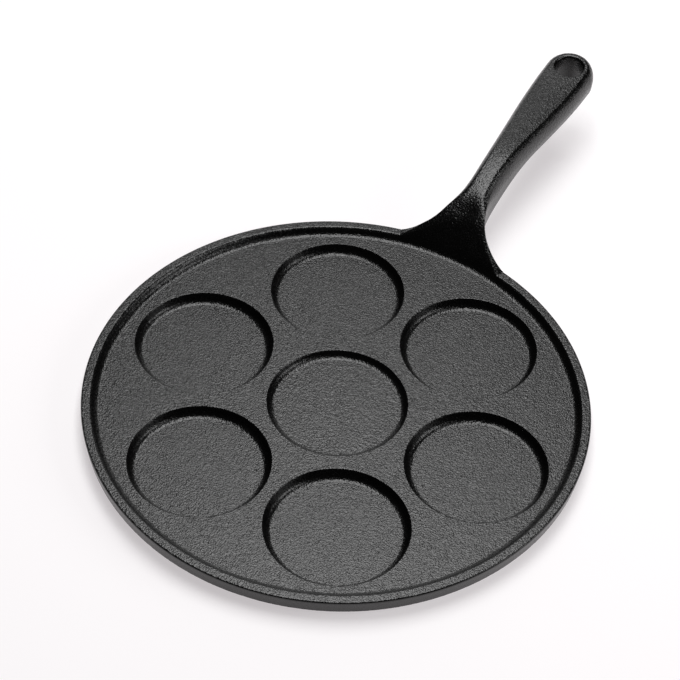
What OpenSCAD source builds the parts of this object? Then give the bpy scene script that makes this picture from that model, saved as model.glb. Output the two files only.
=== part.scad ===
// Cast iron pancake pan with seven shallow round wells and a cast handle.
// The pan stands on the flat undersides of its wells, on the plane Z = 0.
// The origin is on the axis of the centre well, and the handle runs along +X.
// The real pan is one casting. Each node here is one region of that casting,
// and the regions meet face to face without overlapping.

/* [Pan] */
// Outside diameter of the pan at the top of its rim
rim_d = 240; // [225:1:260]
// Height of the flat rim top above the deck
rim_h = 3.6; // [3:0.1:5]
// Thickness of the deck plate between the wells
deck_t = 4; // [3.5:0.1:5]
// Inward lean of the outer side wall, from its top edge to its bottom edge
side_lean = 0.8; // [0.4:0.1:1.2]
// Radius of the rounded edges of the rim and the side wall
edge_r = 0.8; // [0.4:0.1:1]
// Radius of the hollow fillet where the rim's inner wall meets the deck
foot_r = 3.2; // [2.5:0.1:4]
// Steepness of the rim's inner wall, as rise over run
wall_slope = 2.1; // [1.6:0.1:2.6]

/* [Wells] */
// Diameter of a well where it opens in the deck
well_d = 66.5; // [60:0.5:68]
// Distance from the centre well's axis to an outer well's axis
well_pitch = 73.8; // [73.2:0.1:75]
// Number of wells in the ring round the centre well
outer_wells = 6; // [6]
// Depth of the centre well below the deck
well_depth = 3.3; // [2.8:0.1:4]
// Depth of the wells in the ring below the deck
outer_depth = 4.8; // [4:0.1:5]
// Radius of the hollow arc that carries a well's wall down to its floor
well_arc_r = 3.2; // [2.5:0.1:4]
// Steepness of the centre well's wall above its arc, as rise over run
well_slope = 2.2; // [1.8:0.1:2.8]
// Steepness of the walls of the wells in the ring
outer_slope = 2.6; // [1.8:0.1:2.8]
// Thickness of the iron under the centre well's floor
floor_t = 4.7; // [4.4:0.1:5.5]
// Diameter of the flat face that a well stands on
boss_d = 62; // [56:0.5:63]
// Width of the flat land round a well's mouth that belongs to the well's node
land_w = 1.7; // [1:0.05:1.8]

/* [Handle] */
// Distance from the pan's axis to the centre of the hanging hole
eye_x = 244; // [225:0.5:260]
// Width of the handle at the hanging hole
eye_w = 26.9; // [24:0.1:30]
// Diameter of the hanging hole
hole_d = 15; // [12:0.5:17]
// Distance from the pan's axis to the narrowest place of the handle
neck_x = 146; // [140:0.5:151]
// Width of the handle at its narrowest place
neck_w = 15.4; // [12:0.1:18]
// Half of the angle that the handle's root takes up on the rim, in degrees
root_angle = 13.9; // [11:0.1:16]
// Height of the handle's side edges above the deck, along the level stretch
edge_lift = 31.8; // [28:0.1:35]
// Distance from the pan's axis to where the handle stops climbing steeply
level_x = 177; // [170:1:195]
// Height of the rounded top above the side edges
crown_h = 0.7; // [0.4:0.1:2]
// Width of the rounded shoulder from each side of the handle's top
shoulder_w = 3.5; // [2:0.1:5]
// Height of the rounded shoulder down each side of the handle
shoulder_h = 8; // [5:0.5:8.5]
// Climb of the handle from where it starts to lift again to 60 mm further out
end_lift = 4.5; // [3:0.1:7]
// Distance from the pan's axis to where the handle starts to lift again
lift_x = 207; // [190:1:215]
// Depth of the handle from its side edges down to its flat underside
grip_depth = 13.4; // [12.5:0.1:15]
// Inward lean of the handle's sides, from the side edges to the underside
grip_lean = 0.2; // [0.1:0.1:1]
// Height above the deck's underside where the handle's underside leaves the side wall
under_start = 5.3; // [3:0.1:6]
// Steepness of the handle's underside next to the pan, as rise over run
under_slope = 0.31; // [0.25:0.01:0.4]

/* [Hidden] */
iron = [0.16, 0.16, 0.16];

// Heights above the table
deck_top = floor_t + well_depth;
deck_low = deck_top - deck_t;
rim_top = deck_top + rim_h;

// Radii from the pan's axis
rim_r = rim_d / 2;
foot_reach = 8.5;
deck_r = rim_r - foot_reach;
well_r = well_d / 2;
cell_r = well_r + land_w;
// Softness of the edge at a well's mouth
well_soft = 0.8;

// Limits of the handle's regions. The corners are where its edges leave the rim,
// and mouth_x is where the rim's circle crosses the neck's width.
corner_x = rim_r * cos(root_angle);
corner_y = rim_r * sin(root_angle);
mouth_x = sqrt(pow(rim_r, 2) - pow(neck_w / 2, 2));
grip_start = 152;
eye_start = eye_x - 21;

// Shape of the handle's curves
plan_power = 2.64;
climb_power = 2.17;
lift_power = 3;
lift_run = 60;
crown_power = 0.95;
widen_run = -6;
crown_run = 8.4;
shoulder_start = 121;
shoulder_run = 27;
under_soft = 4;
belly = 3.5;
belly_run = 30;

// Slope of the scooped root along the middle of the handle, as rise over run
scoop_slope = 1.31;
// How late the scoop steepens on its way from the middle to the corners
scoop_power = 0.8;
// Softness of the edge at the top of the rim's wall and at the scoop's crest
wall_soft = 2;
crest_soft = 8;
// How late the crest's soft edge sharpens on its way to the corners
crest_power = 2;
// Width of the sloping inside of the rim, and where its profile turns level
wall_reach = 5;
// Where the ridges beside the scoop turn into the grip's rounded top
ridge_end = 115;
ridge_run = 16;

// Points across a handle section, and rows along each handle region
across = 24;
root_rows = 7;
flare_rows = 16;
neck_rows = 2;
row_power = 2.2;
rim_step = 0.3;
grip_rows = 14;
eye_rows = 8;
tip_rows = 9;
tip_stop = 86;
under_edge_r = 3.4;
// Steps of a quarter turn in the small revolved arcs
arc_steps = 8;
// Steps along the wall of a well
wall_steps = 16;
// A small amount by which a cutting solid runs past the face it cuts
clear = 1;
mouth_chamfer = 0.8;

function ease(t) = let (s = min(max(t, 0), 1)) s * s * (3 - 2 * s);
function soft_min(a, b, k) = let (h = max(k - abs(a - b), 0) / k) min(a, b) - h * h * k / 4;

// Climb of the handle's far end above its level stretch
function far_lift(x) = end_lift * pow(max((x - lift_x) / lift_run, 0), lift_power);

// Edge of the root at a share s of the way from the neck to the rim's corner.
// Its distance out from the rim's circle is what its width and height follow.
function flare_out(s) = (neck_x - mouth_x) * (1 - s);
function flare_half(s) =
    neck_w / 2 + (corner_y - neck_w / 2) * (1 - pow(1 - pow(s, plan_power), 1 / plan_power));
function flare_x(s) = sqrt(pow(rim_r, 2) - pow(flare_half(s), 2)) + flare_out(s);
function climb(out) =
    let (s = max(1 - out / (level_x - mouth_x), 0))
    rim_top + (edge_lift - rim_h) * pow(1 - pow(s, climb_power), 1 / climb_power);
flare = [for (i = [0:flare_rows]) let (s = 1 - pow(i / flare_rows, row_power))
    [flare_x(s), flare_half(s), climb(flare_out(s))]];
half_by_x = [for (p = flare) [p[0], p[1]]];
height_by_x = [for (p = flare) [p[0], p[2]]];
height_by_angle = [for (p = flare) [atan2(p[1], p[0]), p[2]]];

// Half of the handle's width at X, from the rim's corner to the rounded tip
function grip_half(x) =
    let (span = eye_x + widen_run - neck_x)
    neck_w / 2 + (eye_w - neck_w) / 2 * ease((x - neck_x) / span) / ease((eye_x - neck_x) / span);
function tip_half(x) = sqrt(max(pow(eye_w / 2, 2) - pow(x - eye_x, 2), 0));
function half_width(x) = x < neck_x ? lookup(x, half_by_x) : x < eye_x ? grip_half(x) : tip_half(x);

// Height of the side edges, and of the rounded top above them
function edge_z(x) = (x < neck_x ? lookup(x, height_by_x) : climb(x - mouth_x)) + far_lift(x);
function crown(x) = crown_h * ease((x - corner_x) / crown_run);
// Height of the underside above the table at a share u of the way from the
// middle to the side. Near the pan the middle hangs lower than the sides.
function under_z(x, u) =
    soft_min(deck_low + under_start + under_slope * (x - rim_r), deck_top + edge_lift - grip_depth, under_soft)
    - belly * (1 - ease((x - rim_r) / belly_run)) * (1 - u * u);

// Height above the deck of the wall that climbs outward from the deck's edge,
// at radius r and angle a: a hollow arc and then a straight slope
function scoop_steepness(a) =
    scoop_slope + (wall_slope - scoop_slope) * pow(ease(a / root_angle), scoop_power);
function wall_rise(r, a) =
    let (s = scoop_steepness(a), turn = atan(s), run = max(r - deck_r, 0), bend = foot_r * sin(turn))
    run < bend ? foot_r - sqrt(foot_r * foot_r - run * run)
               : foot_r * (1 - cos(turn)) + (run - bend) * s;
function wall_softness(a) = crest_soft + (wall_soft - crest_soft) * pow(ease(a / root_angle), crest_power);

// Share of the crown's height that is reached at X and Y. The crown spans the
// handle's width. Inside the neck it is as wide beside each edge as at the neck,
// and round the hanging hole it falls away towards the tip as it does sideways.
function crown_share(x, y) =
    let (
        half = half_width(x),
        t = x > eye_x ? 1 - 2 * norm([x - eye_x, y]) / eye_w
            : (half - abs(y)) / (x < neck_x ? neck_w / 2 : half))
    pow(1 - pow(1 - min(max(t, 0), 1), 2), crown_power);

// How far the top has dropped at a gap from the handle's side: a quarter of an
// ellipse, which grows along the root to its full height
function shoulder(x, gap) =
    let (near = 1 - min(max(gap / shoulder_w, 0), 1))
    shoulder_h * ease((x - shoulder_start) / shoulder_run) * (1 - sqrt(1 - near * near));
function grip_top(x, y) =
    let (gap = x > eye_x ? eye_w / 2 - norm([x - eye_x, y]) : half_width(x) - abs(y))
    edge_z(x) + crown(x) * crown_share(x, y) - shoulder(x, gap);

// Height of the root's top. The scooped wall climbs until it meets the ridges
// that carry the rim top up into the handle. Beside the rim a ridge is as high
// as the edge at the same angle, and further out it is the grip's rounded top.
function root_top(x, y) =
    let (
        a = abs(atan2(y, x)),
        out = ease((x - ridge_end) / ridge_run),
        ridge = (1 - out) * lookup(a, height_by_angle) + out * grip_top(x, y))
    deck_top + soft_min(wall_rise(norm([x, y]), a), ridge - deck_top, wall_softness(a));

// One closed loop of points across the handle: the top from side to side, and
// the underside back again. Both follow plan points that are spaced closely
// near the sides.
function spread(j) = cos(180 * j / across);
function under_point(x, u, half) =
    let (lift = under_edge_r * (1 - sqrt(1 - pow(max(1 - (1 - abs(u)) * half / under_edge_r, 0), 2))))
    [x, (half - grip_lean) * u, under_z(x, u) + lift];
function section(x, half) = concat(
    [for (j = [0:across]) [x, half * spread(j), grip_top(x, half * spread(j))]],
    [for (j = [across:-1:0]) under_point(x, spread(j), half)]);

// Skin over a list of loops with equal numbers of points, closed by strips
// that join each top point to the underside point below it
module skin(loops) {
    n = len(loops[0]);
    last = len(loops) - 1;
    points = [for (loop = loops) each loop];
    sides = [for (i = [0:last - 1], j = [0:n - 1])
        let (a = i * n + j, b = i * n + (j + 1) % n, c = a + n, d = b + n)
        each [[a, b, d], [a, d, c]]];
    near_end = [for (j = [0:across - 1]) each [[n - 1 - j, j + 1, j], [n - 1 - j, n - 2 - j, j + 1]]];
    far_end = [for (f = near_end) [for (k = [2:-1:0]) f[k] + last * n]];
    polyhedron(points, [for (f = concat(sides, near_end, far_end)) [f[2], f[1], f[0]]], convexity = 6);
}

// The deck plate, with a round seat for each well
module griddle_deck() color(iron) difference() {
    translate([0, 0, deck_low]) cylinder(h = deck_top - deck_low, r = deck_r, $fn = 180);
    at_wells([0:outer_wells]) translate([0, 0, deck_low - clear])
        cylinder(h = deck_top - deck_low + 2 * clear, r = cell_r, $fn = 120);
}

// Places children on the axis of each numbered well. Number 0 is the centre.
module at_wells(numbers) {
    ring_step = 360 / outer_wells;
    for (i = numbers)
        rotate([0, 0, ring_step * (i - 0.5)]) translate([i == 0 ? 0 : well_pitch, 0, 0]) children();
}

// Height of a well's wall above its floor, at a distance outside the flat floor:
// a hollow arc and then a straight slope
function well_rise(out, slope) =
    let (turn = atan(slope), bend = well_arc_r * sin(turn))
    out < bend ? well_arc_r - sqrt(pow(well_arc_r, 2) - pow(out, 2))
               : well_arc_r * (1 - cos(turn)) + (out - bend) * slope;

// One well: a shallow dish with a flat floor, on a round boss with a flat foot
module well(number) color(iron) at_wells([number]) {
    depth = number == 0 ? well_depth : outer_depth;
    slope = number == 0 ? well_slope : outer_slope;
    turn = atan(slope);
    floor_r = well_r - well_arc_r * sin(turn) - (depth - well_arc_r * (1 - cos(turn))) / slope;
    mouth_r = well_r + edge_r / 2;
    wall = [for (k = [wall_steps:-1:0]) let (r = floor_r + (mouth_r - floor_r) * k / wall_steps)
        [r, deck_top - depth + soft_min(well_rise(r - floor_r, slope), depth, well_soft)]];
    rotate_extrude($fn = 120) polygon(concat(
        [[0, deck_top - depth], [0, 0], [boss_d / 2 - edge_r, 0], [boss_d / 2, edge_r],
         [cell_r - edge_r, deck_low], [cell_r, deck_low], [cell_r, deck_top]],
        wall));
}

// The raised rim and the side wall below it, left open where the handle grows out
module rim_wall() color(iron) difference() {
    rim_land = rim_r - edge_r;
    low_r = rim_r - side_lean;
    rotate_extrude($fn = 180) polygon(concat(
        [[deck_r, deck_low], [low_r - edge_r, deck_low], [low_r, deck_low + edge_r]],
        [for (k = [0:arc_steps]) let (a = 90 * k / arc_steps)
            [rim_land + edge_r * cos(a), rim_top - edge_r * (1 - sin(a))]],
        [for (k = [0:3 * arc_steps]) let (r = deck_r + wall_reach * (1 - k / (3 * arc_steps)))
            [r, deck_top + soft_min(wall_rise(r, root_angle), rim_h, wall_soft)]]));
    translate([0, 0, deck_low - clear]) linear_extrude(rim_top - deck_low + 2 * clear)
        polygon([[0, 0], for (s = [-1, 1]) 2 * rim_r * [cos(root_angle), s * sin(root_angle)]]);
}

// The flared root: a steep scooped face that climbs from the deck's edge to the
// neck, between two ridges that carry the rim top up into the handle
module handle_root() color(iron) {
    neck = [for (i = [1:neck_rows]) let (x = neck_x + (grip_start - neck_x) * i / neck_rows)
        [x, half_width(x)]];
    skin(concat(
        [for (i = [0:root_rows]) rim_loop(i)],
        [for (p = concat(flare, neck)) root_loop(p[0], p[1])]));
}

// Bow of a plan line across the root, from 0 in the middle to 1 at its ends, so
// that the lines near the pan follow the rim's circle
function bow(u) = (1 - sqrt(1 - pow(u * sin(root_angle), 2))) / (1 - cos(root_angle));

// Loop number i of those inside the rim's circle, over the flat underside
function rim_loop(i) =
    let (
        r = deck_r + (foot_reach - rim_step) * i / root_rows,
        low_r = i < root_rows ? deck_r + (foot_reach - side_lean - edge_r) * i / (root_rows - 1)
            : rim_r - side_lean,
        low_z = i < root_rows ? deck_low : deck_low + edge_r,
        at = function (radius, u) radius * [1 - (1 - cos(root_angle)) * bow(u), sin(root_angle) * u])
    concat(
        [for (j = [0:across]) let (p = at(r, spread(j))) [p[0], p[1], root_top(p[0], p[1])]],
        [for (j = [across:-1:0]) let (p = at(low_r, spread(j))) [p[0], p[1], low_z]]);

// Loop of the root outside the rim's circle, with its edge at X and half its width
function root_loop(edge_x, half) =
    let (
        depth = (rim_r - corner_x) * (1 - ease((edge_x - corner_x) / (grip_start - corner_x))),
        at = function (u) edge_x + depth * (1 - bow(u)))
    concat(
        [for (j = [0:across]) let (u = spread(j)) [at(u), half * u, root_top(at(u), half * u)]],
        [for (j = [across:-1:0]) under_point(at(spread(j)), spread(j), half)]);

// The grip, from the narrow neck to the start of the widened end
module handle_grip() color(iron)
    skin([for (i = [0:grip_rows]) let (x = grip_start + (eye_start - grip_start) * i / grip_rows)
        section(x, half_width(x))]);

// The widened, rounded end with the hanging hole
module handle_eye() color(iron) difference() {
    skin(concat(
        [for (i = [0:eye_rows - 1]) let (x = eye_start + (eye_x - eye_start) * i / eye_rows)
            section(x, half_width(x))],
        [for (i = [0:tip_rows]) let (x = eye_x + eye_w / 2 * sin(tip_stop * i / tip_rows))
            section(x, half_width(x))]));
    eye_low = under_z(eye_x, 0);
    eye_high = grip_top(eye_x, 0);
    eye_tilt = atan(end_lift * lift_power / lift_run * pow((eye_x - lift_x) / lift_run, lift_power - 1));
    translate([eye_x, 0, eye_low - clear]) cylinder(h = 2 * (eye_high - eye_low), d = hole_d, $fn = 96);
    translate([eye_x, 0, eye_high]) rotate([0, -eye_tilt, 0]) mouth();
    translate([eye_x, 0, eye_low]) mirror([0, 0, 1]) mouth();
}

// Cone that takes the edge off a mouth of the hanging hole
module mouth() translate([0, 0, -2 * mouth_chamfer])
    cylinder(h = 4 * mouth_chamfer, d1 = hole_d - 2 * mouth_chamfer, d2 = hole_d + 6 * mouth_chamfer, $fn = 96);

griddle_deck();
rim_wall();
well(0);  // well_centre
well(1);  // well_1
well(2);  // well_2
well(3);  // well_3
well(4);  // well_4
well(5);  // well_5
well(6);  // well_6
handle_root();
handle_grip();
handle_eye();
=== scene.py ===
# %% [markdown]
# # A cast iron pan for small pancakes
# The real pan is one casting of grey iron: a round plate with seven shallow
# wells, a raised rim, and a handle that climbs out of the rim. It could be
# sculpted by hand, but every part of it follows a simple rule, such as a
# profile turned round an axis. So each region is worked out here as a formula
# on a grid of points. All lengths are in millimetres until a mesh is made.

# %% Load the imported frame
import bmesh
import bpy
import numpy as np
from mathutils import Matrix


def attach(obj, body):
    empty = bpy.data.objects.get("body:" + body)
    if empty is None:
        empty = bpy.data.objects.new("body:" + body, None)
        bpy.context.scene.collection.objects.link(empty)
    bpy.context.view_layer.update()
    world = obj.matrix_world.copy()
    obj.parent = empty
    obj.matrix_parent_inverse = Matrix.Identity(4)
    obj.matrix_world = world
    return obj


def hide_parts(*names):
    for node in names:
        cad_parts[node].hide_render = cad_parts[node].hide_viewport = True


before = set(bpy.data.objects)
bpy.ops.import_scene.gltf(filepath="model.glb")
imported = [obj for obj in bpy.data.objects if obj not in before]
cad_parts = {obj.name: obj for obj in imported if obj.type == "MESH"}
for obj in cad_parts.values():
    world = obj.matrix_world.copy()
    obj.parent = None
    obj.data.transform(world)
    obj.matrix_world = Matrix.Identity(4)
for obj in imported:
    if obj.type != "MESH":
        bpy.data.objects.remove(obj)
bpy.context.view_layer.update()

# %% [markdown]
# ## The camera
# The camera comes first, because everything is judged through it. Its place
# was solved from the circles of the rim and the wells, which show up as
# ellipses in the picture. A long lens far away gives the mild perspective.

# %% The camera
camera_place = np.array([-0.61597, -0.32135, 0.78882])
camera_look = np.array([0.60771, 0.31705, -0.72813])
camera_up = np.array([0.61861, 0.38597, 0.68436])
lens_mm, film_mm, farthest_m = 117.144, 36.0, 50.0
away, right_hand = np.array([0.888, 0.460]), np.array([0.460, -0.888])


def aim(obj, place, look, up):
    """Puts obj at place, with its -Z along look and its Y as near to up as it can be. Its X is the
    cross product of up and the way back."""
    back = -look / np.linalg.norm(look)
    right = np.cross(up, back)
    right /= np.linalg.norm(right)
    turn = np.eye(4)
    turn[:3, 0], turn[:3, 1] = right, np.cross(back, right)
    turn[:3, 2], turn[:3, 3] = back, place
    obj.matrix_world = Matrix(turn.tolist())


camera = bpy.data.objects.new("camera", bpy.data.cameras.new("camera"))
bpy.context.scene.collection.objects.link(camera)
bpy.context.scene.camera = camera
camera.data.sensor_width = film_mm
camera.data.lens = lens_mm
camera.data.clip_end = farthest_m
aim(camera, camera_place, camera_look, camera_up)
print("camera stands", np.linalg.norm(camera_place).round(3), "m from the pan's middle")

# %% [markdown]
# ## The sizes
# The sizes here and below are the ones that the solid model was built from, so
# each region can be laid over its solid. The exceptions are said where they
# come: the wells sit a little off their even ring, and the handle's shoulder is
# a little wider.

# %% Sizes of the plate
deck_low, deck_top, rim_top = 4.0, 8.0, 11.6
rim_r, deck_r, edge_r, side_lean = 120.0, 111.5, 0.8, 0.8
print("the plate is", 2 * rim_r, "mm wide, its deck", deck_top - deck_low, "mm thick, its rim",
      rim_top, "mm high")

# %% [markdown]
# Two small helpers blend shapes. One eases a value from 0 to 1 with no kink at
# either end. The other takes the smaller of two heights and rounds the place
# where they meet, which is what a foundry's fillets do to every corner.


# %% Soft blends
def ease(t):
    """Smooth step: three times the square of t less twice its cube, held between 0 and 1."""
    s = np.clip(t, 0.0, 1.0)
    return s * s * (3 - 2 * s)


def soft_min(a, b, k):
    """The smaller of a and b. Where they are within k of each other it is lowered by the square of
    the missing part of k, at most by a quarter of k."""
    h = np.maximum(k - np.abs(a - b), 0) / k
    return np.minimum(a, b) - h * h * k / 4


print("two equal heights, blended over 2 mm, meet", -soft_min(0.0, 0.0, 2.0), "mm lower")

# %% [markdown]
# ## The cast skin
# Sand casting leaves a skin of small rounded bumps, because the metal takes the
# shape of the sand grains. The bumps are real relief on this pan, so they are
# put in the mesh. A noise in three dimensions is used, so that it runs across
# from one region of the casting to the next without a seam.

# %% The grain of the casting
bits = 0xFFFFFFFF
seed_step, full_height = 17, 1.6
skin_layers = ((0.035, 14.0, 3), (0.022, 2.2, 5), (0.06, 1.05, 8))


def hashed(cell, seed):
    """A repeatable number from -1 to 1 for each whole-number cell: the cell's numbers and the seed
    are multiplied by large odd numbers, and their bits are mixed by shifts."""
    h = (cell[..., 0] * 73856093 ^ cell[..., 1] * 19349663
         ^ cell[..., 2] * 83492791 ^ seed * 2654435761) & bits
    h = ((h ^ (h >> 15)) * 2246822519) & bits
    h = ((h ^ (h >> 13)) * 3266489917) & bits
    return ((h ^ (h >> 16)) & 0xFFFF) / 32767.5 - 1


def noise(points, size, seed):
    """Gradient noise: each corner of a cell has a random slope, and a point mixes the heights that
    the eight corners' slopes would give it. It runs from about -1 to 1, with bumps about one size
    wide."""
    p = points / size
    cell = np.floor(p).astype(np.int64)
    f = p - cell
    w = f * f * f * (f * (f * 6 - 15) + 10)
    total = np.zeros(points.shape[:-1])
    for corner in np.ndindex(2, 2, 2):
        c = np.array(corner)
        height = sum(hashed(cell + c, seed + seed_step * k) * (f[..., k] - c[k]) for k in range(3))
        total += height * np.prod(np.where(c == 1, w, 1 - w), axis=-1)
    return total * full_height


def grain(points):
    """Height of the skin in millimetres: a slow waviness, pebbles, and finer pebbles, added up.
    Each layer has its height, the size of its bumps and its seed."""
    return sum(height * noise(points, size, seed) for height, size, seed in skin_layers)


sample = np.stack(np.meshgrid(np.arange(0, 30, 0.5), np.arange(0, 30, 0.5), [deck_top]), -1)
print("the skin's bumps are", grain(sample).std().round(3), "mm high as a root mean square")

# %% [markdown]
# ## From grids to meshes
# Every region becomes one closed mesh. The points come from a formula, and the
# faces only join neighbours on a grid, so their order can be written once.
# Each mesh then stands for one node of the solid model.

# %% Faces, normals and volume of a grid
tiny = 1e-9


def grid_faces(rows, cols, join_rows=False, join_cols=False):
    """Quads of a grid of rows by cols points, closed round in either direction when asked. A quad
    joins a point with its neighbours down, down and across, and across."""
    i = np.arange(rows if join_rows else rows - 1)[:, None]
    j = np.arange(cols if join_cols else cols - 1)[None, :]
    down, across = (i + 1) % rows, (j + 1) % cols
    quads = [i * cols + j, down * cols + j, down * cols + across, i * cols + across]
    return np.stack(quads, -1).reshape(-1, 4)


def grid_normals(points, join_cols=False):
    """Unit normals of a grid of points, from the cross product of its two directions."""
    rows = np.gradient(points, axis=0)
    if join_cols:
        cols = (np.roll(points, -1, axis=1) - np.roll(points, 1, axis=1)) / 2
    else:
        cols = np.gradient(points, axis=1)
    n = np.cross(rows, cols)
    return n / np.maximum(np.linalg.norm(n, axis=-1, keepdims=True), tiny)


def volume_of(points, quads):
    """Signed volume in cubic millimetres, positive when the quads face outwards: the sum of the
    tetrahedra that each quad's two triangles make with the origin."""
    a, b, c, d = (points[quads[:, k]] for k in range(4))
    return float((np.cross(a, b) * c).sum() + (np.cross(a, c) * d).sum()) / 6


print("a grid of 3 by 4 points has", len(grid_faces(3, 4)), "faces, and",
      len(grid_faces(3, 4, True, True)), "when it is closed both ways")

# %% One mesh for each region
pieces = {}
to_metres, merge_m, sharp_angle = 0.001, 2e-7, np.radians(38)


def cast_piece(name, node, points, quads, caps=(), coarse=None, join=False):
    """Makes the mesh object and lets it stand for the CAD node. The quads and the caps face
    outwards. coarse is 1 where the skin is as cast and 0 where it is smooth, and join merges
    points that lie on each other."""
    points = points.reshape(-1, 3)
    faces = quads.tolist() + [list(cap) for cap in caps]
    triangles = sum(len(f) - 2 for f in faces)
    mesh = bpy.data.meshes.new(name)
    mesh.from_pydata((points * to_metres).tolist(), [], faces)
    if coarse is not None:
        layer = mesh.attributes.new("coarse", "FLOAT", "POINT")
        values = np.ascontiguousarray(coarse, dtype=np.float32)
        layer.data.foreach_set("value", values.ravel())
    if join:
        loose = bmesh.new()
        loose.from_mesh(mesh)
        bmesh.ops.remove_doubles(loose, verts=loose.verts, dist=merge_m)
        loose.to_mesh(mesh)
        loose.free()
    mesh.polygons.foreach_set("use_smooth", np.ones(len(mesh.polygons), dtype=bool))
    mesh.set_sharp_from_angle(angle=sharp_angle)
    obj = bpy.data.objects.new(name, mesh)
    bpy.context.scene.collection.objects.link(obj)
    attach(obj, "root")
    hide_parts(node)
    pieces[name] = obj
    print(name, "stands for", node, "with", triangles, "triangles")


print("edges sharper than", np.degrees(sharp_angle).round(), "degrees stay crisp")

# %% [markdown]
# ## The wells
# A well is where the batter goes. It is turned round its own axis: a flat
# floor, a hollow arc for the wall, a small rounded mouth, and outside it a flat
# land that joins the deck. The wall of the centre well is lower and less steep.

# %% The profile of a well
well_r, well_arc_r, well_soft = 33.25, 3.2, 0.8
centre_floor, centre_slope, outer_floor, outer_slope = 4.7, 2.2, 3.2, 2.6


def well_height(r, floor, slope):
    """Height of a well's top surface at radius r: the floor, an arc that starts level, the straight
    wall, and the deck. The deck and the wall are blended softly to round the mouth."""
    turn = np.arctan(slope)
    bend, rise = well_arc_r * np.sin(turn), well_arc_r * (1 - np.cos(turn))
    floor_r = well_r - bend - (deck_top - floor - rise) / slope
    out = np.maximum(r - floor_r, 0)
    arc = well_arc_r - np.sqrt(well_arc_r ** 2 - np.minimum(out, bend) ** 2)
    wall = floor + np.where(out < bend, arc, rise + (out - bend) * slope)
    return soft_min(wall, np.full_like(r, deck_top), well_soft)


print("the outer wells are", round(deck_top - outer_floor, 1), "mm deep, the centre one",
      round(deck_top - centre_floor, 1))

# %% [markdown]
# A polar grid would crowd its points in the middle, and its grain would look
# combed. So a square grid is bent into a disc instead: each square ring of the
# grid becomes one circle. The circles are closest together on the wall.

# %% A disc from a square grid
cell_r, wall_start, wall_end = 34.95, 28.6, 32.4
floor_rings, wall_rings, land_rings = 56, 18, 20


def disc_grid(radii):
    """Square grid bent into a disc. Ring k of the square becomes a circle of radius radii[k], and
    a point's angle is an eighth of a turn times its place along its side of the square."""
    n = len(radii) - 1
    i, j = np.meshgrid(np.arange(-n, n + 1), np.arange(-n, n + 1), indexing="ij")
    with np.errstate(divide="ignore", invalid="ignore"):
        flat = np.pi / 4 * j / i + np.where(i < 0, np.pi, 0)
        steep = np.pi / 2 - np.pi / 4 * i / j + np.where(j < 0, np.pi, 0)
    turn = np.where(np.abs(i) >= np.abs(j), flat, steep)
    turn[n, n] = 0
    r = radii[np.maximum(np.abs(i), np.abs(j))]
    return r * np.cos(turn), r * np.sin(turn), r


well_radii = np.concatenate([np.linspace(0, wall_start, floor_rings),
                             np.linspace(wall_start, wall_end, wall_rings)[1:],
                             np.linspace(wall_end, cell_r, land_rings)[1:]])
disc_x, disc_y, disc_r = disc_grid(well_radii)
side = disc_x.shape[0]
print("a well's grid has", side, "by", side, "points, rings", np.diff(well_radii).min().round(2),
      "to", np.diff(well_radii).max().round(2), "mm apart")

# %% [markdown]
# Below the deck each well shows as a low round boss with a flat foot, and the
# pan stands on these seven feet. The boss is a profile turned round the same
# axis. It starts from the outline of the square grid, walked round once, so
# that the two surfaces share their points.

# %% The boss under a well
boss_r, well_pitch, under_grain = 31.0, 73.8, 0.3
ring_angles = np.radians(60 * (np.arange(7) - 0.5))
well_centres = well_pitch * np.stack([np.cos(ring_angles), np.sin(ring_angles)], 1)
well_centres[0] = 0
edge_walk = np.concatenate([np.arange(side) * side,
                            (side - 1) * side + np.arange(1, side),
                            np.arange(side - 2, -1, -1) * side + side - 1,
                            np.arange(side - 2, 0, -1)])
edge_turn = np.arctan2(disc_y.ravel()[edge_walk], disc_x.ravel()[edge_walk])
boss = np.array([[cell_r, 6.0], [cell_r, deck_low], [cell_r - 0.5, 3.6], [boss_r + 0.45, 0.9],
                 [boss_r, 0.35], [boss_r - 0.45, 0.08], [boss_r - 1.0, 0.0], [boss_r - 6, 0.0]])
print("a boss narrows from", 2 * cell_r, "to", 2 * boss[-2, 0], "mm at its foot")

# %% [markdown]
# The seven patterns are set in the mould by hand, so the real wells sit up to
# two millimetres off an even ring. Each well is moved inside its seat, and some
# are made a little wider or narrower. The outer edge stays where the deck
# expects it.

# %% Cast the seven wells
# how far each well goes to the right and away in the picture, and how much its radius grows
well_moves = np.array([[0.4, 0.2, 0], [0.65, 0.15, -0.45], [0, -0.3, 0], [0.75, -0.9, 0],
                       [0.15, -0.6, 0.2], [0.65, -0.35, 0.1], [0.1, 0.6, -0.2]])
held_r = 33.6
hold = 1 - ease((disc_r - held_r) / (cell_r - held_r))


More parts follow.
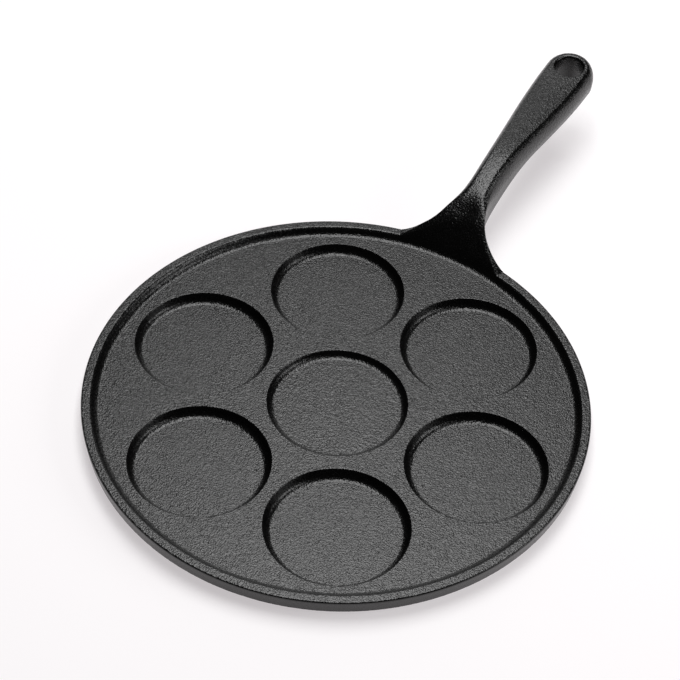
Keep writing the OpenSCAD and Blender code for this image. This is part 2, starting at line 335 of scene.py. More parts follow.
def cast_well(number):
    """Casts one well: its top from the profile, moved by its share of hold, with the grain along
    the normals, then the boss's rings, and a cap for the foot."""
    to_right, to_far, wider = well_moves[number]
    moved = right_hand * to_right + away * to_far
    grow = 1 + wider / well_r * hold
    floor, slope = (centre_floor, centre_slope) if number == 0 else (outer_floor, outer_slope)
    centre = [*well_centres[number], 0]
    top = np.stack([disc_x * grow + moved[0] * hold, disc_y * grow + moved[1] * hold,
                    well_height(disc_r, floor, slope)], -1) + centre
    top = top + grid_normals(top) * grain(top)[..., None]
    rings = np.stack([boss[:, :1] * np.cos(edge_turn), boss[:, :1] * np.sin(edge_turn),
                      np.broadcast_to(boss[:, 1:], (len(boss), len(edge_walk)))], -1) + centre
    points = np.concatenate([top.reshape(-1, 3), rings.reshape(-1, 3)])
    ring_index = side * side + np.arange(rings[..., 0].size).reshape(len(boss), -1)
    loops = np.concatenate([edge_walk[None], ring_index])
    upper, lower = loops[:-1], loops[1:]
    walls = np.stack([upper, lower, np.roll(lower, -1, 1), np.roll(upper, -1, 1)], -1)
    quads = np.concatenate([grid_faces(side, side), walls.reshape(-1, 4)])
    fading = np.repeat(np.linspace(1, under_grain, len(boss)), len(edge_walk))
    name = "centre" if number == 0 else str(number)
    cast_piece("pancake_well_" + name, "well_" + name, points, quads, [loops[-1][::-1]],
               np.concatenate([np.ones(side * side), fading]))


for number in range(7):
    cast_well(number)

# %% [markdown]
# ## The deck
# The deck is what is left of a disc when seven round seats are cut out of it.
# It is built as six equal cells, one round each outer well. In a cell, straight
# lines run outward from the well's seat to the first thing they meet: the
# centre well's seat, the middle line between two wells, or the deck's edge.


# %% How far a line reaches
def ray_to_circle(start, ray, radius, outside):
    """Distance along a unit ray from start to a circle round the pan's axis. It solves the
    circle's quadratic equation, and takes the nearer crossing from outside the circle or the only
    one from inside it."""
    b = start * ray[:, 0]
    root = b * b - (start * start - radius * radius)
    step = np.sqrt(np.maximum(root, 0))
    return np.where(root < 0, np.inf, np.where(outside, -b - step, -b + step))


straight_out = ray_to_circle(well_pitch, np.array([[1.0, 0.0]]), deck_r, False)[0]
print("straight out from a well's middle the deck ends after", straight_out.round(2), "mm")

# %% One cell of the deck
edge_lines, side_lines, seat_lines = 81, 105, 27
twelfth = np.array([np.cos(np.pi / 6), np.sin(np.pi / 6)])
deck_corner = deck_r * twelfth - [well_pitch, 0]
seat_corner = cell_r * twelfth - [well_pitch, 0]
turn_a = np.arctan2(deck_corner[1], deck_corner[0])
turn_b = np.arctan2(seat_corner[1], seat_corner[0])
half_walk = np.concatenate([np.linspace(0, turn_a, edge_lines),
                            np.linspace(turn_a, turn_b, side_lines)[1:],
                            np.linspace(turn_b, np.pi, seat_lines)[1:]])
walk = np.concatenate([half_walk, 2 * np.pi - half_walk[-2:0:-1]])
from_back = np.abs(walk - np.pi)
on_arc = (from_back > np.pi - turn_a - tiny) | (from_back < np.pi - turn_b + tiny)
rays = np.stack([np.cos(walk), np.sin(walk)], 1)
to_edge = ray_to_circle(well_pitch, rays, deck_r, False)
to_seat = ray_to_circle(well_pitch, rays, cell_r, True)
to_seat[(to_seat < 0) | (from_back > np.pi - turn_b + tiny)] = np.inf
lean_line = np.array([np.sin(np.pi / 6), np.cos(np.pi / 6)])
with np.errstate(divide="ignore"):
    across = np.stack([rays[:, 0] * lean_line[0] - s * rays[:, 1] * lean_line[1]
                       for s in (1, -1)])
    to_line = np.where(across < -tiny, -well_pitch * lean_line[0] / across, np.inf).min(0)
reach = np.minimum(np.minimum(to_seat, to_edge), to_line)
print("the cell's lines reach", (reach.min() - cell_r).round(2), "to",
      (reach.max() - cell_r).round(2), "mm past the seat")


# %% Cast the deck
def deck_layer(shares, height):
    """Points of all six cells at the given shares of the way along each line, on a level plane.
    A cell is turned to its place by the sine and cosine of its angle."""
    along = cell_r + (reach[:, None] - cell_r) * shares[None, :]
    local = np.stack([well_pitch + along * rays[:, :1], along * rays[:, 1:]], -1)
    turned = [np.stack([local[..., 0] * np.cos(a) - local[..., 1] * np.sin(a),
                        local[..., 0] * np.sin(a) + local[..., 1] * np.cos(a),
                        np.full(local.shape[:2], height)], -1) for a in ring_angles[1:]]
    return np.stack(turned)


def cell_quads(up, low):
    """Quads of one cell from the numbers of its upper and lower points: the top, the underside,
    the well's seat, and the outer wall where the cell ends on an arc."""
    up_next, low_next = np.roll(up, -1, 0), np.roll(low, -1, 0)
    top = np.stack([up[:, :-1], up[:, 1:], up_next[:, 1:], up_next[:, :-1]], -1)
    under = np.stack([low[:, :-1], low_next[:, :-1], low_next[:, 1:], low[:, 1:]], -1)
    seat = np.stack([up[:, 0], up_next[:, 0], low_next[:, 0], low[:, 0]], -1)
    wall = np.stack([up[:, -1], low[:, -1], low_next[:, -1], up_next[:, -1]], -1)
    return [top.reshape(-1, 4), under.reshape(-1, 4), seat, wall[on_arc & np.roll(on_arc, -1)]]


top_points, low_points = 33, 3
upper = deck_layer(np.linspace(0, 1, top_points), deck_top)
lower = deck_layer(np.linspace(0, 1, low_points), deck_low)
upper[..., 2] += grain(upper)
lower[..., 2] -= grain(lower)
upper_index = np.arange(upper[..., 0].size).reshape(upper.shape[:3])
lower_index = upper_index.size + np.arange(lower[..., 0].size).reshape(lower.shape[:3])
deck_quads = sum((cell_quads(up, low) for up, low in zip(upper_index, lower_index)), [])
deck_points = np.concatenate([upper.reshape(-1, 3), lower.reshape(-1, 3)])
cast_piece("griddle_plate", "griddle_deck", deck_points, np.concatenate(deck_quads),
           coarse=np.ones(len(deck_points)), join=True)

# %% [markdown]
# ## The rim
# The rim is one profile carried round the pan, from one side of the handle's
# root to the other. Its inside is a hollow fillet and a steep wall that rounds
# over into a flat top. Its outside is a smooth side wall that leans in a
# little, so that the pattern could be drawn out of the sand.

# %% The inner wall, of the rim and of the scooped root
root_angle = 13.9
foot_r, wall_slope, wall_soft, wall_reach = 3.2, 2.1, 2.0, 5.0
scoop_slope, scoop_power = 1.31, 0.8
half_turn = np.radians(root_angle)
corner_x, corner_y = rim_r * np.cos(half_turn), rim_r * np.sin(half_turn)


def scoop_steepness(angle):
    """Steepness of the inner wall at an angle in degrees from the handle's middle: gentle there,
    and eased up to the rim's slope at the root's side."""
    return scoop_slope + (wall_slope - scoop_slope) * ease(angle / root_angle) ** scoop_power


def wall_rise(r, angle):
    """Height above the deck: a hollow arc of radius foot_r up to the wall's slope, then that
    straight slope."""
    s = scoop_steepness(angle)
    turn = np.arctan(s)
    run, bend = np.maximum(r - deck_r, 0), foot_r * np.sin(turn)
    arc = foot_r - np.sqrt(np.maximum(foot_r ** 2 - np.minimum(run, bend) ** 2, 0))
    return np.where(run < bend, arc, foot_r * (1 - np.cos(turn)) + (run - bend) * s)


print("the handle's edges leave the rim at", corner_x.round(2), corner_y.round(2))

# %% The rim's profile
inner_points, flat_points, corner_points, side_points, base_points = 27, 8, 7, 8, 6
inner_crowding = 1.1
inner = deck_r + wall_reach * np.linspace(0, 1, inner_points) ** inner_crowding
inner_z = deck_top + soft_min(wall_rise(inner, root_angle), rim_top - deck_top, wall_soft)
flat = np.linspace(inner[-1], rim_r - edge_r, flat_points)[1:]
quarter = np.linspace(0, np.pi / 2, corner_points)[1:]
low_r, seat_top = rim_r - side_lean, deck_low + 2.0
side_r = np.linspace(rim_r, low_r, side_points)[1:]
side_z = np.linspace(rim_top - edge_r, deck_low + edge_r, side_points)[1:]
base_r = np.linspace(low_r - edge_r, deck_r, base_points)[1:]
profile = np.concatenate([
    np.stack([inner, inner_z], 1),
    np.stack([flat, np.full_like(flat, rim_top)], 1),
    np.stack([rim_r - edge_r + edge_r * np.sin(quarter),
              rim_top - edge_r + edge_r * np.cos(quarter)], 1),
    np.stack([side_r, side_z], 1),
    np.stack([low_r - edge_r + edge_r * np.cos(quarter),
              deck_low + edge_r - edge_r * np.sin(quarter)], 1),
    np.stack([base_r, np.full_like(base_r, deck_low)], 1),
    [[deck_r, seat_top]]])
print("the rim's profile has", len(profile), "points, and its top is",
      (rim_r - edge_r - inner[-1]).round(1), "mm wide")

# %% [markdown]
# The outer wall shows much less grain than the top, because it slid along a
# smooth pattern in the mould. So the skin has a coarseness that changes along
# the profile. It scales the height of the grain, and it is kept as an attribute
# that the material reads later.

# %% Cast the rim
stations, wall_point = 1401, 10
sweep = np.linspace(half_turn, 2 * np.pi - half_turn, stations)
ring = np.stack([profile[None, :, 0] * np.cos(sweep)[:, None],
                 profile[None, :, 0] * np.sin(sweep)[:, None],
                 np.broadcast_to(profile[:, 1], (len(sweep), len(profile)))], -1)
side_start, side_rows, under_rows = len(inner) + len(flat) + 2, 11, 6
under_coarse, smooth_skin = 0.8, 0.15
ring_coarse = np.ones(len(profile))
ring_coarse[side_start:side_start + side_rows] = 0.0
ring_coarse[-under_rows:] = under_coarse
ring_skin = smooth_skin + (1 - smooth_skin) * ring_coarse
ring_normals = grid_normals(ring, join_cols=True)
upwards = np.sign(ring_normals[stations // 2, wall_point, 2])
ring += ring_normals * (grain(ring) * ring_skin)[..., None] * upwards
first_end = np.arange(len(profile))
last_end = (len(sweep) - 1) * len(profile) + first_end
cast_piece("rim_ring", "rim_wall", ring,
           grid_faces(len(sweep), len(profile), join_cols=True)[:, ::-1],
           [first_end[::-1], last_end],
           np.broadcast_to(ring_coarse, (len(sweep), len(profile))))

# %% [markdown]
# ## The handle
# The handle's edges leave the rim at two corners, sweep in to a narrow neck and
# widen again to a round eye. The side edges climb as they go. A bent box could
# give the rough form, but the sweep and the climb are what make this handle, so
# each is a formula along the handle's length.

# %% The sweep and the climb of the handle's edges
eye_x, eye_w, neck_x, neck_w = 244.0, 26.9, 146.0, 15.4
plan_power, widen_run = 2.64, -6.0
edge_lift, level_x, climb_power = 31.8, 177.0, 2.17
end_lift, lift_x, lift_run, lift_power = 4.5, 207.0, 60.0, 3.0
mouth_x = np.sqrt(rim_r ** 2 - (neck_w / 2) ** 2)


def flare(t):
    """Edge from the corner (t = 0) to the neck (t = 1). Its width falls along a superellipse,
    measured outwards from the rim's own circle. Returns x, half width and that distance out."""
    s = 1 - t
    falling = 1 - (1 - s ** plan_power) ** (1 / plan_power)
    half = neck_w / 2 + (corner_y - neck_w / 2) * falling
    out = (neck_x - mouth_x) * t
    return np.sqrt(rim_r ** 2 - half ** 2) + out, half, out


def climb(out):
    """Height of the side edges: a superellipse that starts steep at the rim and ends level."""
    s = np.maximum(1 - out / (level_x - mouth_x), 0)
    rising = (1 - s ** climb_power) ** (1 / climb_power)
    return rim_top + (edge_lift - rim_top + deck_top) * rising


def far_lift(x):
    """Gentle climb of the handle's far end, as the cube of the distance past its start."""
    return end_lift * (np.maximum(x - lift_x, 0) / lift_run) ** lift_power


flare_samples, flare_crowding = 240, 2.2
flare_x, flare_half, flare_out = flare(np.linspace(0, 1, flare_samples) ** flare_crowding)
flare_z = climb(flare_out)
flare_turn = np.degrees(np.arctan2(flare_half, flare_x))
print("the edges climb from", flare_z[0].round(1), "to", climb(eye_x - mouth_x).round(1),
      "mm, before the lift of the far end")


# %% The handle's edges at any x
def half_width(x):
    """Half of the handle's width: the flare up to the neck, an eased widening, then the circle of
    the round end."""
    span = eye_x + widen_run - neck_x
    widened = ease((x - neck_x) / span) / ease((eye_x - neck_x) / span)
    grip = neck_w / 2 + (eye_w - neck_w) / 2 * widened
    tip = np.sqrt(np.maximum((eye_w / 2) ** 2 - (x - eye_x) ** 2, 0))
    beyond_neck = np.where(x < eye_x, grip, tip)
    return np.where(x < neck_x, np.interp(x, flare_x, flare_half), beyond_neck)


def edge_z(x):
    """Height of the side edges at x: the flare's own height up to the neck, then the climb."""
    beyond_neck = climb(np.maximum(x - mouth_x, 0))
    return np.where(x < neck_x, np.interp(x, flare_x, flare_z), beyond_neck) + far_lift(x)


grip_middle = 180.0
widths = 2 * half_width(np.array([neck_x, grip_middle, eye_x]))
print("the handle is", widths.round(1), "mm wide at neck, grip and eye")

# %% [markdown]
# The grip's top is slightly crowned, and its edges are rounded off in a
# shoulder that grows out of the sharp ridge at the root. The shoulder shows as
# the dark band between the grey top and the paler side. Here it is 0.8 mm wider
# than in the solid model, and it starts 5 mm further out.

# %% The top of the grip
crown_h, crown_run, crown_power, least_half = 0.7, 8.4, 0.95, 1e-6
shoulder_w, shoulder_h, shoulder_start, shoulder_run = 4.3, 8.0, 126.0, 24.0


def crown(x):
    """Height of the rounded top above the side edges, eased in at the root."""
    return crown_h * ease((x - corner_x) / crown_run)


def rounded(share):
    """Share of the crown reached at a share of the way in from the side: one less the square of
    the way that is left, raised to crown_power."""
    return (1 - (1 - np.clip(share, 0, 1)) ** 2) ** crown_power


def shoulder(x, gap):
    """How far the top has dropped at a gap from the handle's side: a quarter of an ellipse, which
    grows along the root to its full height."""
    near = 1 - np.clip(gap / shoulder_w, 0, 1)
    grown = shoulder_h * ease((x - shoulder_start) / shoulder_run)
    return grown * (1 - np.sqrt(1 - near ** 2))


def grip_top(x, y):
    """Edge height plus the crown, less the shoulder. Round the eye the crown falls away towards
    the end as it does to the sides."""
    half = np.maximum(half_width(x), least_half)
    beside = (half - np.abs(y)) / np.where(x < neck_x, neck_w / 2, half)
    beyond = 1 - np.hypot(x - eye_x, y) / (eye_w / 2)
    gap = np.where(x > eye_x, eye_w / 2 - np.hypot(x - eye_x, y), half - np.abs(y))
    share = np.where(x > eye_x, beyond, beside)
    return edge_z(x) + crown(x) * rounded(share) - shoulder(x, gap)


print("the grip's middle is", grip_top(grip_middle, 0.0).round(1), "mm up, its side edge",
      grip_top(grip_middle, half_width(grip_middle)).round(1))

# %% [markdown]
# At the root the pan's inner wall runs on upwards as a scoop, until it rounds
# over a crest into the grip. A low ridge on either side carries the rim's edge
# up to the neck. The scoop and the ridges are two heights, so the smaller of
# them, softly blended, gives the whole surface.

# %% The top of the root
ridge_end, ridge_run, crest_soft, crest_power = 115.0, 16.0, 8.0, 2.0
arris_drop, arris_start, arris_run = 0.8, 118.0, 12.0


def root_top(x, y):
    """The scooped wall, cut off softly by the ridges. Beside the rim a ridge is as high as the
    edge at the same angle, and further out it turns into the grip's crowned top."""
    a = np.abs(np.degrees(np.arctan2(y, x)))
    out = ease((x - ridge_end) / ridge_run)
    beside_rim = np.interp(a, flare_turn[::-1], flare_z[::-1])
    ridge = (1 - out) * beside_rim + out * grip_top(x, y)
    soft = crest_soft + (wall_soft - crest_soft) * ease(a / root_angle) ** crest_power
    return deck_top + soft_min(wall_rise(np.hypot(x, y), a), ridge - deck_top, soft)


def arris(x, y, drop):
    """Lowers the top beside the flare's edge along a quarter circle, by how near the edge is in
    plan."""
    edge = np.stack([flare_x, flare_half], 1)
    near = np.min(np.hypot(x[..., None] - edge[:, 0], np.abs(y)[..., None] - edge[:, 1]), axis=-1)
    return drop * (1 - np.sqrt(1 - (1 - np.clip(near / drop, 0, 1)) ** 2))


print("the scoop is", root_top(mouth_x, 0.0).round(1), "mm up at the rim's edge")

# %% [markdown]
# Nothing in the picture shows the handle's underside. It is made flat with
# rounded edges, as on most pans of this kind. Near the plate its middle hangs
# lower, which leaves more iron where the load is.

# %% The underside of the handle
grip_depth, grip_lean, under_edge_r = 13.4, 0.2, 3.4
under_start, under_slope, under_soft = 5.3, 0.31, 4.0
belly, belly_run = 3.5, 30.0


def under_z(x, u):
    """Height of the underside: a straight climb that levels off. Near the pan its middle hangs
    lower, by a parabola across u, which runs from -1 to 1."""
    line = deck_low + under_start + under_slope * (x - rim_r)
    hang = belly * (1 - ease((x - rim_r) / belly_run)) * (1 - u * u)
    return soft_min(line, deck_top + edge_lift - grip_depth, under_soft) - hang


def round_edge(gap):
    """How far the underside has risen at a gap from the handle's side, along a quarter circle."""
    near = np.clip(1 - gap / under_edge_r, 0, 1)
    return under_edge_r * (1 - np.sqrt(1 - near ** 2))


def rounded_under(x, u, half):
    """Underside points at x and a share u of the half width: flat, with rounded edges."""
    gap = (1 - np.abs(u)) * half
    return np.stack([x, (half - grip_lean) * u, under_z(x, u) + round_edge(gap)], -1)


thickness = grip_top(grip_middle, 0.0) - under_z(grip_middle, 0.0)
print("the grip is", thickness.round(1), "mm thick in the middle")

# %% [markdown]
# The root and the grip are skinned like a boat's hull: a closed loop of points
# at each station along the handle, and faces from loop to loop. In the root the
# loops are bowed, so that the first of them lie on the rim's own circle.

# %% Loops round the handle
across_top, across_under, down_points, side_grain = 151, 41, 18, 0.25
spread = np.cos(np.linspace(0, np.pi, across_top))
under_spread = np.cos(np.linspace(np.pi, 0, across_under))
down_side = np.linspace(0, 1, down_points)[1:-1][None, :, None]


def bow(u):
    """Bow of a line across the root, 0 in the middle and 1 at its ends, so that it follows the
    rim's circle."""
    return (1 - np.sqrt(1 - (u * np.sin(half_turn)) ** 2)) / (1 - np.cos(half_turn))


def join_loop(top, low):
    """One closed loop: the top from side to side, straight down one side, the underside, and up
    the other side."""
    near = top[:, -1:] + (low[:, :1] - top[:, -1:]) * down_side
    far = low[:, -1:] + (top[:, :1] - low[:, -1:]) * down_side
    return np.concatenate([top, near, low, far], axis=1)


def bar(name, node, loops):
    """Skins the loops, adds the grain along the normals, with less of it on the sides and below,
    and closes both ends."""
    n = grid_normals(loops, join_cols=True)
    n *= np.sign(n[len(n) // 2, len(spread) // 2, 2])
    amount = np.full(loops.shape[1], side_grain)
    amount[:len(spread)] = 1
    amount = np.broadcast_to(amount, loops.shape[:2])
    loops = loops + n * (grain(loops) * amount)[..., None]
    rows, cols = loops.shape[:2]
    quads = grid_faces(rows, cols, join_cols=True)
    first, last = np.arange(cols), (rows - 1) * cols + np.arange(cols)
    ends = [first[::-1], last]
    if volume_of(loops.reshape(-1, 3), quads) < 0:
        quads, ends = quads[:, ::-1], [first, last[::-1]]
    cast_piece(name, node, loops, quads, ends, amount)


print("a loop has", len(spread) + len(under_spread) + 2 * down_side.size, "points")

# %% Cast the root of the handle
grip_start, last_gap = 152.0, 0.3
rim_rows, flare_rows, neck_rows, row_crowding = 26, 111, 17, 2.0
rows_in = np.linspace(deck_r, rim_r - last_gap, rim_rows)
low_in = np.append(np.linspace(deck_r, low_r - edge_r, rim_rows - 1), low_r)
low_in_z = np.append(np.full(rim_rows - 1, deck_low), deck_low + edge_r)


def arc_row(radius, u):
    """Points of a circle round the pan's axis between the root's two corners."""
    shorter = 1 - (1 - np.cos(half_turn)) * bow(u)
    return radius[:, None] * shorter, radius[:, None] * np.sin(half_turn) * u


x, y = arc_row(rows_in, spread)
top_in = np.stack([x, y, root_top(x, y)], -1)
x, y = arc_row(low_in, under_spread)
under_in = np.stack([x, y, np.broadcast_to(low_in_z[:, None], x.shape)], -1)
flare_part = flare(np.linspace(0, 1, flare_rows) ** row_crowding)
neck_part = np.linspace(neck_x, grip_start, neck_rows)[1:]
edge_x = np.concatenate([flare_part[0], neck_part])[:, None]
edge_half = np.concatenate([flare_part[1], half_width(neck_part)])[:, None]
depth = (rim_r - corner_x) * (1 - ease((edge_x - corner_x) / (grip_start - corner_x)))
x, y = edge_x + depth * (1 - bow(spread)), edge_half * spread
softened = arris(x, y, arris_drop) * (1 - ease((x - arris_start) / arris_run))
top_out = np.stack([x, y, root_top(x, y) - softened], -1)
x = edge_x + depth * (1 - bow(under_spread))
under_out = rounded_under(x, under_spread, edge_half)
root_loops = np.concatenate([join_loop(top_in, under_in), join_loop(top_out, under_out)])
bar("root_flare", "handle_root", root_loops)

# %% Cast the grip
eye_start, grip_rows = 223.0, 171
x = np.linspace(grip_start, eye_start, grip_rows)[:, None] + 0 * spread
y = half_width(x) * spread
x_low = x[:, :1] + 0 * under_spread
bar("grip_bar", "handle_grip", join_loop(np.stack([x, y, grip_top(x, y)], -1),
                                         rounded_under(x_low, under_spread, half_width(x_low))))

# %% [markdown]
# The eye is a ring of iron round the hanging hole. Its grid runs round the hole
# one way. The other way it goes from the hole's mouth over the top to the
# outside edge, down the side, back under, and up through the hole. A hole cut
# with a boolean would leave ragged faces in the cast skin.

# %% The outline of the eye
hole_r, mouth_round, ray_count, step_count, longest = 7.5, 1.0, 420, 2001, 40
theta = np.linspace(0, 2 * np.pi, ray_count + 1)[:-1]
theta_rays = np.stack([np.cos(theta), np.sin(theta)], 1)
steps = np.linspace(0, longest, step_count)
ray_x = eye_x + steps[None, :] * theta_rays[:, :1]
ray_y = np.abs(steps[None, :] * theta_rays[:, 1:])
inside = (ray_x >= eye_start - tiny) & (ray_y <= half_width(ray_x) + tiny)
outline = steps[np.argmin(inside, axis=1) - 1]
corner = np.arctan2(half_width(np.array(eye_start)), eye_start - eye_x)
on_end = np.abs(theta - np.pi) < np.pi - corner
outline[on_end] = (eye_start - eye_x) / theta_rays[on_end, 0]
from_tip = np.abs(np.where(theta > np.pi, theta - 2 * np.pi, theta))
outline[from_tip <= np.pi / 2] = eye_w / 2
mouth = hole_r + mouth_round
print("the eye reaches", outline.min().round(2), "to", outline.max().round(2),
      "mm from the hole's middle")


# %% The surfaces of the eye
def eye_plan(radii):
    """Points in plan at the given radii along the rays from the hole's middle."""
    return eye_x + radii * theta_rays[:, :1], radii * theta_rays[:, 1:]


top_rings, low_rings, lip_points, top_crowding, low_crowding = 34, 17, 6, 1.8, 1.5
top_shares = 1 - (1 - np.linspace(0, 1, top_rings)) ** top_crowding
low_shares = 1 - np.linspace(0, 1, low_rings) ** low_crowding
x, y = eye_plan(mouth + (outline[:, None] - mouth) * top_shares)
eye_top = np.stack([x, y, grip_top(x, y)], -1)
low_outline = outline - grip_lean * (1 - on_end)
along_low = mouth + (low_outline[:, None] - mouth) * low_shares
x, y = eye_plan(along_low)
low_gap = np.where(x > eye_x, eye_w / 2 - along_low, half_width(x) - np.abs(y)) - grip_lean
eye_low = np.stack([x, y, under_z(x, 1.0 + 0 * x) + round_edge(low_gap)], -1)
lip_turn = np.linspace(0, np.pi / 2, lip_points)[1:]
lip = mouth_round * np.stack([1 - np.sin(lip_turn), 1 - np.cos(lip_turn)], 1)
x, y = eye_plan(hole_r + lip[:, 0])
tilt = end_lift * lift_power / lift_run * ((eye_x - lift_x) / lift_run) ** (lift_power - 1)
top_lip_z = eye_top[:, :1, 2] + tilt * (x - eye_top[:, :1, 0]) - lip[:, 1]
low_lip_z = eye_low[:, -1:, 2] + tilt * (x - eye_low[:, -1:, 0]) + lip[:, 1]
lip_top, lip_low = np.stack([x, y, top_lip_z], -1), np.stack([x, y, low_lip_z], -1)
print("the hole is", 2 * hole_r, "mm wide and its mouths tilt by",
      np.degrees(np.arctan(tilt)).round(1), "degrees")


# %% Cast the eye
def between(start, end, count):
    """Points on straight lines from start to end, at count even places with both ends left out."""
    return start + (end - start) * np.linspace(0, 1, count)[None, 1:-1, None]


down_count, bore_count, bore_rows, bore_grain, top_ring = 20, 16, 30, 0.6, 8
side_down = between(eye_top[:, -1:], eye_low[:, :1], down_count)
bore = between(lip_low[:, -1:], lip_top[:, -1:], bore_count)
eye = np.concatenate([eye_top, side_down, eye_low, lip_low, bore, lip_top[:, ::-1]], axis=1)
eye_n = np.cross(np.roll(eye, -1, 0) - np.roll(eye, 1, 0),
                 np.roll(eye, -1, 1) - np.roll(eye, 1, 1))
eye_n /= np.maximum(np.linalg.norm(eye_n, axis=-1, keepdims=True), tiny)
eye_n *= np.sign(eye_n[0, top_ring, 2])
eye_amount = np.full(eye.shape[1], side_grain)
eye_amount[:top_rings] = 1
eye_amount[-bore_rows:] = bore_grain
eye_amount = np.broadcast_to(eye_amount, eye.shape[:2])
eye = eye + eye_n * (grain(eye) * eye_amount)[..., None]
eye_quads = grid_faces(*eye.shape[:2], join_rows=True, join_cols=True)
if volume_of(eye.reshape(-1, 3), eye_quads) < 0:
    eye_quads = eye_quads[:, ::-1]
cast_piece("hanging_eye", "handle_eye", eye, eye_quads, coarse=eye_amount)

# %% [markdown]
# ## The finish
# Seasoned iron is almost black, and what shows is the gloss of the baked oil.
# So the base colour is very dark and even. The picture is made by a gloss that
# changes from grain to grain, and by a fine bump for the grains that are too
# small for the mesh. The bump is weaker where the skin is smooth.

# %% A new material and its helpers
iron = bpy.data.materials.new("seasoned_iron_finish")
iron.use_nodes = True
nodes, links = iron.node_tree.nodes, iron.node_tree.links
nodes.clear()


def add(kind, **settings):
    """Adds a node and sets its properties, or its inputs when the name is an input's."""
    node = nodes.new(kind)
    for key, value in settings.items():
        if hasattr(node, key):
            setattr(node, key, value)
        else:
            node.inputs[key.replace("_", " ")].default_value = value
    return node


shader = add("ShaderNodeBsdfPrincipled", IOR=1.48)
output = add("ShaderNodeOutputMaterial")
links.new(shader.outputs["BSDF"], output.inputs["Surface"])
place = add("ShaderNodeTexCoord")
coarse_in = add("ShaderNodeAttribute", attribute_name="coarse")


def noise_of(scale, detail, rough, distortion=0.0):
    """A noise on the piece's own coordinates, in metres: its cells are one part in scale wide."""
    tex = add("ShaderNodeTexNoise", Scale=scale, Detail=detail, Roughness=rough,
              Distortion=distortion)
    links.new(place.outputs["Object"], tex.inputs["Vector"])
    return tex.outputs["Fac"]


def ramp(value, low, high, to_low, to_high):
    """Maps a value from one range to another along a straight line, held at both ends."""
    node = add("ShaderNodeMapRange", From_Min=low, From_Max=high, To_Min=to_low, To_Max=to_high)
    links.new(value, node.inputs["Value"])
    return node.outputs["Result"]


print("the baked oil reflects with an index of", round(shader.inputs["IOR"].default_value, 2))

# %% Seasoned iron
dark_iron, worn_iron = (0.0006, 0.0006, 0.0007, 1), (0.0022, 0.0021, 0.0020, 1)
glossiest, dullest, smooth_bump = 0.17, 0.35, 0.15
patch_scale, gloss_scale, bump_scale, bump_height_m = 60, 1200, 1600, 0.00016
patch_low, gloss_low, noise_high = 0.35, 0.3, 0.7
tint = add("ShaderNodeMix", data_type="RGBA")
tint.inputs["A"].default_value = dark_iron
tint.inputs["B"].default_value = worn_iron
patches = ramp(noise_of(patch_scale, 6, 0.6), patch_low, noise_high, 0, 1)
gloss = ramp(noise_of(gloss_scale, 2, 0.6), gloss_low, noise_high, glossiest, dullest)
links.new(patches, tint.inputs["Factor"])
links.new(tint.outputs["Result"], shader.inputs["Base Color"])
links.new(gloss, shader.inputs["Roughness"])
fine = add("ShaderNodeMath", operation="MULTIPLY")
links.new(noise_of(bump_scale, 0, 0.5, 0.3), fine.inputs[0])
links.new(ramp(coarse_in.outputs["Fac"], 0, 1, smooth_bump, 1.0), fine.inputs[1])
bump = add("ShaderNodeBump", Strength=1.0, Distance=bump_height_m)
links.new(fine.outputs["Value"], bump.inputs["Height"])
links.new(bump.outputs["Normal"], shader.inputs["Normal"])
for piece in pieces.values():
    piece.data.materials.append(iron)
print("finish on", len(pieces), "pieces")

# %% [markdown]
# ## The studio
# A white table, a large soft light above and a little behind, and darkness on
# the camera's side. The dark side is what makes the walls that face the camera
# go black, and the soft light is what the flat iron shows as grey. A low bright
# backdrop and a card on the right light the handle. The table glows faintly, so
# that it stays white and its shadows stay pale.

# %% The table
table_half, table_z = 6.0, -0.00005
corners = [(-1, -1), (1, -1), (1, 1), (-1, 1)]
floor_mesh = bpy.data.meshes.new("floor")
floor_mesh.from_pydata([(table_half * cx, table_half * cy, table_z) for cx, cy in corners], [],
                       [(0, 1, 2, 3)])
floor = bpy.data.objects.new("floor", floor_mesh)
bpy.context.scene.collection.objects.link(floor)
paper = bpy.data.materials.new("white_paper")
paper.use_nodes = True
paper_looks = {"Base Color": (0.52, 0.52, 0.52, 1), "Roughness": 0.9, "Specular IOR Level": 0.1,
               "Emission Color": (1.0, 0.95, 0.97, 1), "Emission Strength": 0.52}
for socket, value in paper_looks.items():
    paper.node_tree.nodes["Principled BSDF"].inputs[socket].default_value = value
floor_mesh.materials.append(paper)
print("the table is", 2 * table_half, "m wide")

# %% [markdown]
# Each light stands at a distance away from the camera and to the right of the
# pan's middle, at a height. All of them are wide, because small lights would
# show as hard spots on the glossy iron.

# %% Soft lights
up_lean = np.array([away[0], away[1], 0.5])


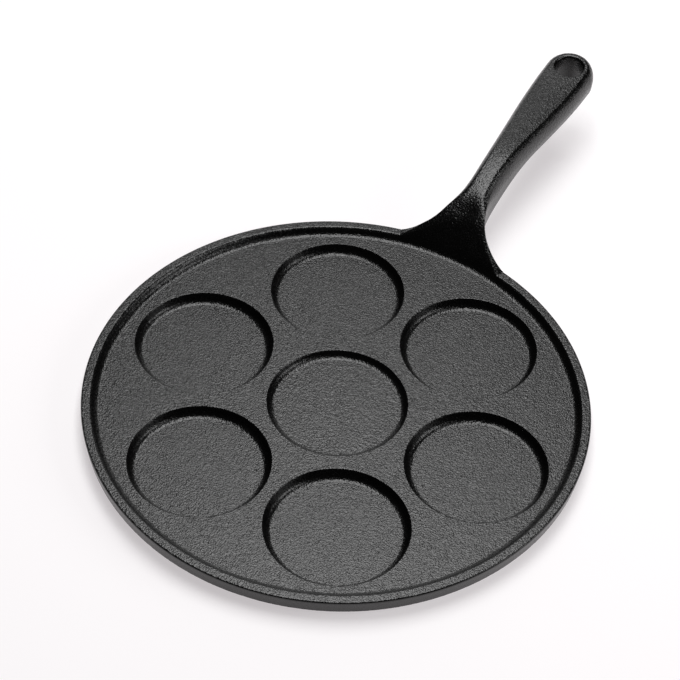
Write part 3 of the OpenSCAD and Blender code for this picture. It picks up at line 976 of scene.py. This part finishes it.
def soft_light(name, back, right, height, target_z, size, power, straight_down=False):
    """A rectangular area light, size in metres and power in watts. It stands back metres away and
    right metres to the right, and aims at the pan's axis or straight down."""
    data = bpy.data.lights.new(name, "AREA")
    data.shape = "RECTANGLE"
    data.size, data.size_y, data.energy = size[0], size[1], power
    light = bpy.data.objects.new(name, data)
    bpy.context.scene.collection.objects.link(light)
    ground = away * back + right_hand * right
    place = np.array([ground[0], ground[1], height])
    target = np.array([*(ground if straight_down else (0, 0)), target_z])
    aim(light, place, target - place, up_lean)
    print(name, "stands", round(float(np.hypot(*ground)), 2), "m out and", height, "m up")


soft_light("overhead_box", 0.42, 0.02, 1.3, 0, (0.65, 1.2), 17.5, straight_down=True)
soft_light("back_box", 1.35, 0, 0.95, 0, (0.8, 1.0), 1.9)
soft_light("low_backdrop", 2.2, 0, 0.36, 0.3, (2.4, 0.68), 4.2)
soft_light("right_card", -0.25, 1.2, 0.6, 0, (0.7, 0.5), 5.5)

# %% [markdown]
# The camera sees a white room, but the iron must not, or its dark walls would
# turn grey. So the world is white for the camera's own rays and almost black
# for the rest.

# %% The room
seen_strength, unseen_strength = 1.0, 0.015
world = bpy.data.worlds.new("room")
bpy.context.scene.world = world
world.use_nodes = True
wn, wl = world.node_tree.nodes, world.node_tree.links
wn.clear()
seen, unseen = wn.new("ShaderNodeBackground"), wn.new("ShaderNodeBackground")
for background, strength in ((seen, seen_strength), (unseen, unseen_strength)):
    background.inputs["Color"].default_value = (1, 1, 1, 1)
    background.inputs["Strength"].default_value = strength
path, mix = wn.new("ShaderNodeLightPath"), wn.new("ShaderNodeMixShader")
room = wn.new("ShaderNodeOutputWorld")
wl.new(path.outputs["Is Camera Ray"], mix.inputs["Fac"])
wl.new(unseen.outputs["Background"], mix.inputs[1])
wl.new(seen.outputs["Background"], mix.inputs[2])
wl.new(mix.outputs["Shader"], room.inputs["Surface"])
bpy.context.scene.view_settings.view_transform = "Standard"
bpy.context.scene.view_settings.exposure = 0.0
print("the room's strength is", seen_strength, "for the camera and", unseen_strength,
      "for the iron")
